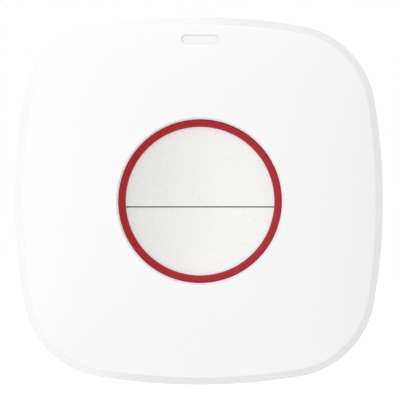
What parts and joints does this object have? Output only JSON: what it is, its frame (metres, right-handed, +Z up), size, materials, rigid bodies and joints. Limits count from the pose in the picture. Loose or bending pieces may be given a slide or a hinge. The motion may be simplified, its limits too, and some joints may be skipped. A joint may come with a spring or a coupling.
{
  "type": "wireless panic button",
  "caption": "Square, round-cornered wall-mounted wireless panic button with a domed white face, a split dished push button in a red ring, and a light window above.",
  "frame": {"origin": "middle of the wall plate's back face, on the wall, level with the middle of the button disc", "axes": "+X to the right and +Z up for someone who looks at the face, which looks along -Y; +Y goes into the wall"},
  "size_m": [0.078, 0.0202, 0.078],
  "materials": {
    "white_housing": "smooth white moulded plastic with a soft sheen",
    "red_ring": "smooth deep red plastic",
    "satin_button": "finely grained light grey-white plastic",
    "milky_window": "milky translucent plastic",
    "led_body": "white case with a clear lens",
    "green_board": "glass fibre board with green lacquer",
    "black_plastic": "black moulded plastic",
    "plated_sheet": "tin-plated sheet metal",
    "steel": "nickel-plated steel",
    "brown_ceramic": "unglazed brown ceramic with tinned ends"
  },
  "bodies": {
    "unit": {"front_cover": "white_housing", "rear_housing": "white_housing", "wall_plate": "white_housing", "accent_ring": "red_ring", "light_pipe": "milky_window", "indicator_led": "led_body", "circuit_board": "green_board", "upper_switch_case": "black_plastic", "lower_switch_case": "black_plastic", "tamper_switch_case": "black_plastic", "battery_holder": "black_plastic", "controller_chip": "black_plastic", "radio_board": "green_board", "radio_shield": "plated_sheet", "antenna": "plated_sheet", "positive_contact": "plated_sheet", "negative_contact": "plated_sheet", "battery_cell": "steel", "crystal": "plated_sheet", "chip_capacitors": "brown_ceramic", "board_screws": "steel", "housing_screws": "steel", "locking_screw": "steel"},
    "upper_key": {"upper_button": "satin_button"},
    "lower_key": {"lower_button": "satin_button"},
    "upper_stem": {"upper_switch_plunger": "black_plastic"},
    "lower_stem": {"lower_switch_plunger": "black_plastic"},
    "tamper_stem": {"tamper_switch_plunger": "black_plastic"}
  },
  "joints": [
    {"name": "upper_button_press", "type": "slide", "parent": "unit", "child": "upper_key", "axis": [0, 1, 0], "range_m": [0, 0.0008], "stiffness_N_per_m": 3000},
    {"name": "upper_switch_press", "type": "slide", "parent": "unit", "child": "upper_stem", "axis": [0, 1, 0], "range_m": [0, 0.0008]},
    {"name": "lower_button_press", "type": "slide", "parent": "unit", "child": "lower_key", "axis": [0, 1, 0], "range_m": [0, 0.0008], "stiffness_N_per_m": 3000},
    {"name": "lower_switch_press", "type": "slide", "parent": "unit", "child": "lower_stem", "axis": [0, 1, 0], "range_m": [0, 0.0008]},
    {"name": "tamper_press", "type": "slide", "parent": "unit", "child": "tamper_stem", "axis": [0, -1, 0], "range_m": [0, 0.0003], "stiffness_N_per_m": 1000}
  ],
  "couplings": [
    {"joint": "upper_switch_press", "follows": "upper_button_press", "ratio": 1},
    {"joint": "lower_switch_press", "follows": "lower_button_press", "ratio": 1}
  ]
}
